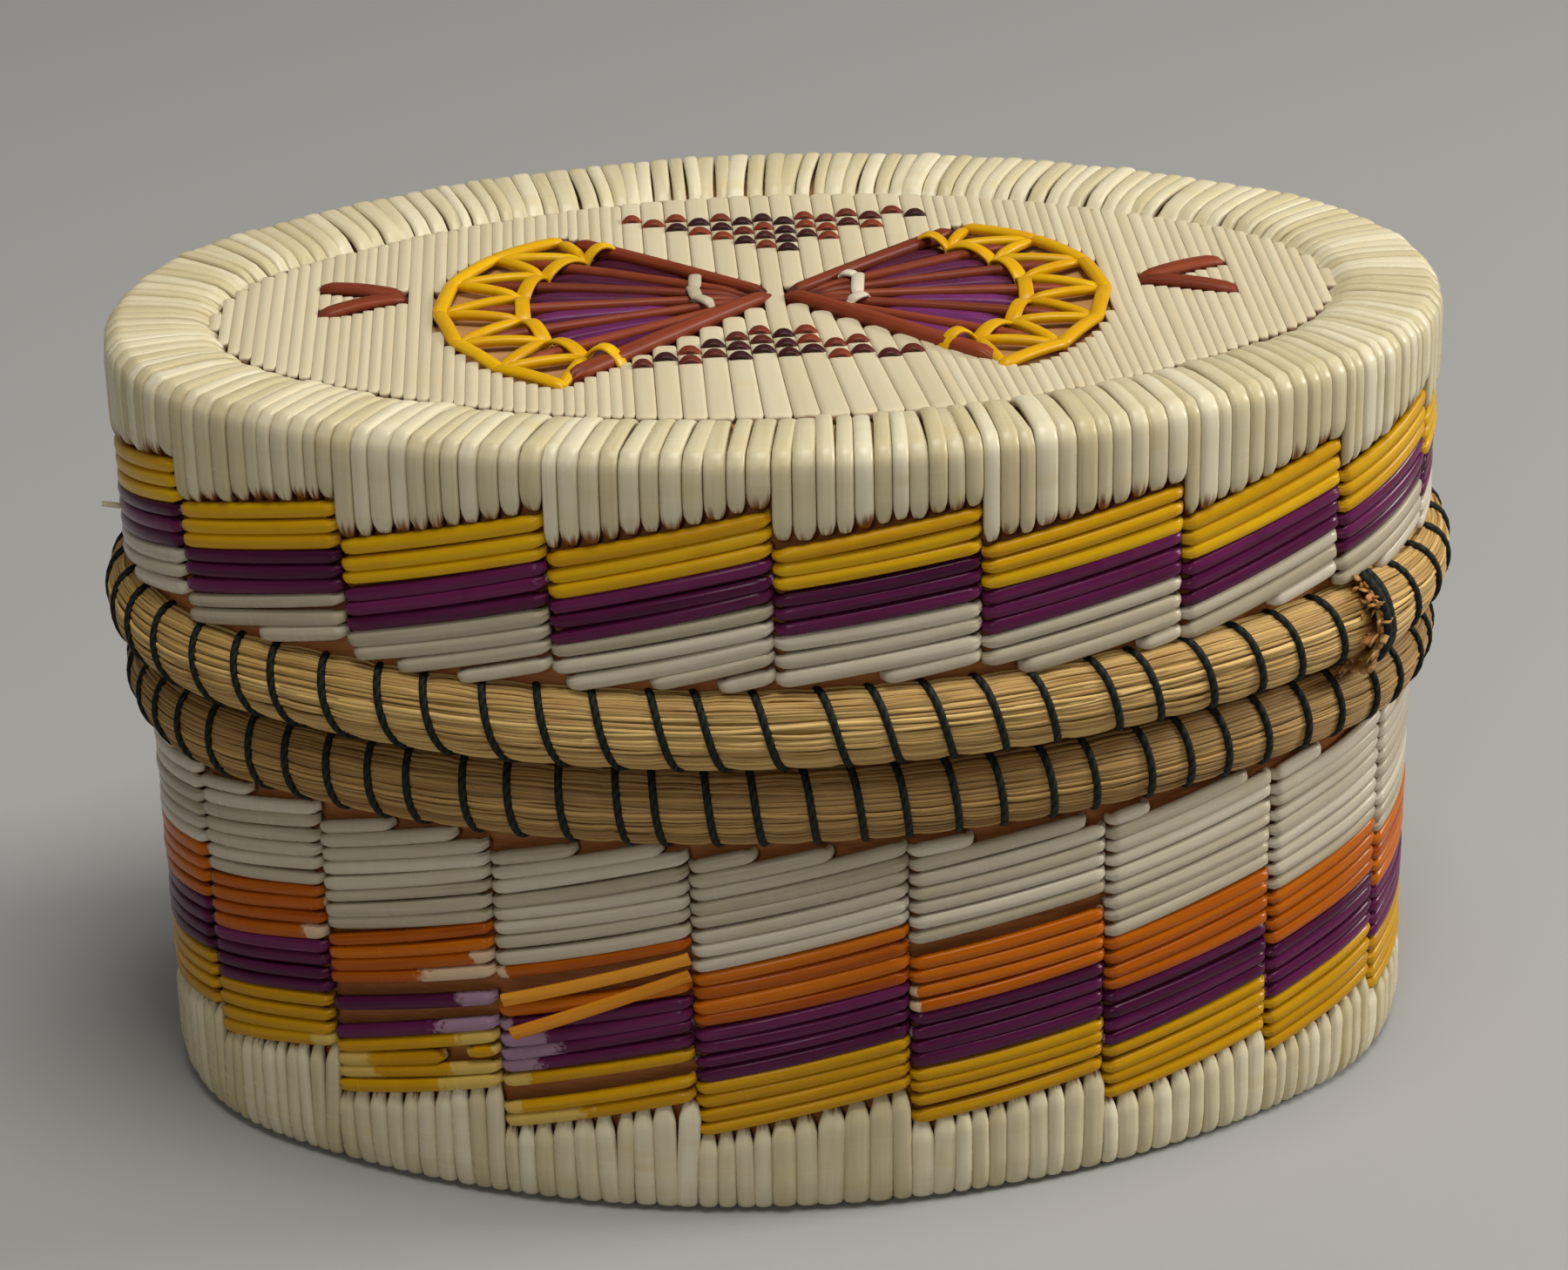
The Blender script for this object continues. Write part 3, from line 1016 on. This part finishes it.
# A thread goes over its bundle again and again: down the front on a slant, then back up behind it
def threadSweep(rim):
    step = np.arange(rim["stitches"] * threadLook["steps"] + 1)
    stitch = step // threadLook["steps"]
    share = (step % threadLook["steps"]) / threadLook["steps"]
    front = share < threadLook["frontShare"]
    behind = (share - threadLook["frontShare"]) / (1 - threadLook["frontShare"])
    most = threadLook["turn"]
    section = np.where(front, most - 2 * most * share / threadLook["frontShare"], 0)
    pitch = rimLength / rim["stitches"]
    wobble = threadLook["wobble"] * random.normal(size=rim["stitches"] + 2)
    bottom = rim["slant"] * most / math.pi
    nextTop = pitch + np.diff(wobble)[stitch] - bottom
    slide = np.where(front, -rim["slant"] * section / math.pi, bottom + (nextTop - bottom) * behind)
    distance = rim["start"] + stitch * pitch + wobble[stitch] + slide
    travel = (distance - rim["splice"]) % rimLength
    proud = rim["proud"] * np.exp(-travel / strandLook["settle"])
    over = strandLook["halfHigh"] + threadLook["over"] - strandLook["pinch"] + proud
    angle = angleAt(distance, 0.0)
    reach = (rim["depth"] + over) * np.where(front, np.cos(section), math.cos(most))
    height = (rim["half"] + over) * np.where(front, np.sin(section), math.sin(most) * (2 * behind - 1))
    path = onWall(angle, rim["back"] - reach, rim["height"] + height)[None]
    high = np.where(front[:, None], rimHigh(angle, section), outward(angle) + 0.2 * upright)[None]
    radius = threadLook["radius"]
    return sweep(path, high, radius, radius * 0.85, np.array([0.5]), sides=8, power=1.0)


# A thicker loop of thread that holds the lid's splice; its share along counts as one stitch
def loopSweep(rim, place):
    section = np.linspace(threadLook["turn"], -threadLook["turn"], loopLook["steps"])[None]
    travel = (place - loopLook["slant"] * section) % rimLength
    path, angle = rimSpot(rim, travel, section, strandLook["halfHigh"] + loopLook["over"])
    high = rimHigh(angle, section)
    radius = loopLook["radius"]
    loop = sweep(path, high, radius, radius * 0.8, np.array([0.5]), sides=8, power=1.0)
    loop["data"][:, 0] /= rim["stitches"]
    return loop


for rim in rims.values():
    rim["parts"] = [strandSweep(rim), coreSweep(rim)]
    if rim["proud"]:
        rim["parts"].append(fraySweep(rim))
for rim in rims.values():
    rim["thread"] = [threadSweep(rim)] + [loopSweep(rim, place) for place in rim["loops"]]


# Dry grass: pale and dark blades with fine streaks along each strand, browner where the mark passes one
def grassMaterial(name):
    material, shader, start = newMaterial(name)
    along, seed, mark, turn = quillChannels(start)
    fine = start.noise(start.vector(turn * 14.0, along * 24.0, seed * 71.0), 1.0, 5.0)
    slow = start.noise(start.vector(along * 36.0, seed * 47.0, 0.0), 1.0, 2.0)
    other = (seed * 5.17).fraction()
    share = ((fine - 0.5) + (other - 0.5) * 0.6 + (slow - 0.5) * 0.7 + 0.58).clamp()
    pale = share.mix(linear(142, 98, 42), linear(232, 196, 120))
    dark = share.mix(linear(106, 70, 28), linear(188, 148, 82))
    tone = (mark.clamp() * 0.9).mix(pale, dark)
    ((mark - 1.0).clamp() * 0.9).mix(tone, linear(178, 118, 58)).feed(shader, "Base Color")
    (fine * 0.2 + 0.42).feed(shader, "Roughness")
    start.bump(fine, 0.6, 0.12).feed(shader, "Normal")
    return material


# Two-ply thread: slanting stripes of its twist
def threadMaterial(name, stitches):
    material, shader, start = newMaterial(name)
    along, _, _, turn = quillChannels(start)
    twist = (along * (stitches * 17.0) + turn * 2.0) * fullTurn
    ply = twist.sine() * 0.5 + 0.5
    fuzz = start.noise(start.vector(turn * 6.0, along * 900.0, 0.0), 1.0, 3.0)
    (ply * 0.75 + fuzz * 0.25).mix(linear(7, 10, 8), linear(32, 40, 34)).feed(shader, "Base Color")
    (fuzz * 0.2 + 0.55).feed(shader, "Roughness")
    start.bump(ply, 0.8, 0.12).feed(shader, "Normal")
    shader.inputs["Specular IOR Level"].default_value = 0.2
    return material


grass = grassMaterial("sweetgrass")
for body, rim in rims.items():
    addPiece(body + "RimSweetgrass", rim["parts"], grass, body, [body + "_rim_sweetgrass"])
    twisted = threadMaterial(body + "Thread", rim["stitches"])
    addPiece(body + "RimThread", rim["thread"], twisted, body, [body + "_rim_thread"])


# Bark: fine streaks that run round the box, with darker flecks
def barkMaterial(name, dark, pale, fleck, stretch):
    material, shader, start = newMaterial(name)
    place = start.make("ShaderNodeTexCoord", {}, output="Object")
    scaled = start.make("ShaderNodeMapping", {"Vector": place, "Scale": stretch})
    grain = start.noise(scaled, 900.0, 6.0)
    blotch = start.noise(place, 160.0, 3.0)
    flecks = start.noise(scaled, 260.0, 2.0)
    tone = (grain * 0.75 + blotch * 0.5 - 0.15).clamp().mix(dark, pale)
    (flecks.ramp(0.62, 0.74) * 0.6).mix(tone, fleck).feed(shader, "Base Color")
    (blotch * 0.2 + 0.55).feed(shader, "Roughness")
    start.bump(grain, 0.4, 0.15).feed(shader, "Normal")
    return material


barkLooks = {
    "wallBark": {
        "dark": linear(128, 70, 26), "pale": linear(196, 126, 66), "fleck": linear(100, 50, 18),
        "stretch": (0.5, 0.5, 3.0),
    },
    "topBark": {
        "dark": linear(150, 98, 52), "pale": linear(206, 160, 108), "fleck": linear(120, 70, 34),
        "stretch": (0.6, 2.4, 1.0),
    },
    "liningBark": {
        "dark": linear(158, 116, 72), "pale": linear(206, 168, 118), "fleck": linear(128, 84, 46),
        "stretch": (0.5, 0.5, 3.0),
    },
}
barkNodes = {
    "wallBark": ["base_floor", "base_wall", "lid_wall"],
    "topBark": ["lid_top"],
    "liningBark": ["base_floor_liner", "base_liner", "lid_top_liner", "lid_wall_liner"],
}
for name, look in barkLooks.items():
    material = barkMaterial(name, **look)
    for node in barkNodes[name]:
        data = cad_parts[node].data
        data.materials.clear()
        data.materials.append(material)
print("made bark")

# Stage: a pale floor, a soft light overhead, others from the right and the front, and even light all round
stageLook = {
    "floorHalf": 3, "floorColour": (0.36, 0.36, 0.365, 1), "floorRoughness": 0.9,
    "worldColour": (1.0, 0.96, 0.88, 1), "worldStrength": 0.12, "lightColour": (1.0, 0.97, 0.9),
    "aim": (0, 0, 0.04),
}
half = stageLook["floorHalf"]
floorMesh = bpy.data.meshes.new("floor")
corners = [(-half, -half, 0), (half, -half, 0), (half, half, 0), (-half, half, 0)]
floorMesh.from_pydata(corners, [], [(0, 1, 2, 3)])
floor = bpy.data.objects.new("floor", floorMesh)
bpy.context.scene.collection.objects.link(floor)
floorMaterial, floorShader, _ = newMaterial("floor")
floorShader.inputs["Base Color"].default_value = stageLook["floorColour"]
floorShader.inputs["Roughness"].default_value = stageLook["floorRoughness"]
floorMesh.materials.append(floorMaterial)

scene = bpy.context.scene
world = bpy.data.worlds.new("studio")
world.use_nodes = True
background = world.node_tree.nodes["Background"]
background.inputs["Color"].default_value = stageLook["worldColour"]
background.inputs["Strength"].default_value = stageLook["worldStrength"]
scene.world = world
lights = [
    {"name": "overhead", "place": (0.12, -0.16, 0.95), "size": 0.45, "power": 6.7},
    {"name": "right", "place": (0.9, 0.05, 0.45), "size": 0.25, "power": 6.0},
    {"name": "front", "place": (-0.25, -0.9, 0.5), "size": 0.14, "power": 1.0},
]
for light in lights:
    data = bpy.data.lights.new(light["name"], "AREA")
    data.size = light["size"]
    data.energy = light["power"]
    data.color = stageLook["lightColour"]
    lamp = bpy.data.objects.new(light["name"], data)
    place = Vector(light["place"])
    turned = (Vector(stageLook["aim"]) - place).to_track_quat("-Z", "Y")
    lamp.matrix_world = Matrix.Translation(place) @ turned.to_matrix().to_4x4()
    scene.collection.objects.link(lamp)

# Camera fitted to the photo, which is 1800 by 1458 pixels: focal length and offset in its pixels, angles in
# degrees, and the distance in millimetres from a place on the box's middle line
view = {
    "focal": 4910.6, "offset": (-1.13, 30.6), "width": 1800, "azimuth": -2.777, "elevation": 26.155,
    "roll": -1.298, "distance": 427.7, "middle": (0, 0, 40), "sensor": 36,
}
azimuth, elevation, roll = (math.radians(view[key]) for key in ("azimuth", "elevation", "roll"))
level = math.cos(elevation)
back = Vector((math.sin(azimuth) * level, -math.cos(azimuth) * level, math.sin(elevation)))
right = Vector((math.cos(azimuth), math.sin(azimuth), 0))
above = back.cross(right)
tiltedRight = math.cos(roll) * right + math.sin(roll) * above
tiltedUp = -math.sin(roll) * right + math.cos(roll) * above
centre = (Vector(view["middle"]) + back * view["distance"]) * millimetre
lens = bpy.data.cameras.new("camera")
lens.sensor_fit = "HORIZONTAL"
lens.sensor_width = view["sensor"]
lens.lens = view["sensor"] * view["focal"] / view["width"]
lens.shift_x = -view["offset"][0] / view["width"]
lens.shift_y = view["offset"][1] / view["width"]
lens.clip_start = 0.01
lens.dof.use_dof = False
camera = bpy.data.objects.new("camera", lens)
camera.matrix_world = Matrix((
    (tiltedRight.x, tiltedUp.x, back.x, centre.x),
    (tiltedRight.y, tiltedUp.y, back.y, centre.y),
    (tiltedRight.z, tiltedUp.z, back.z, centre.z),
    (0, 0, 0, 1),
))
scene.collection.objects.link(camera)
scene.camera = camera
scene.view_settings.view_transform = "Standard"
print("made stage and camera")
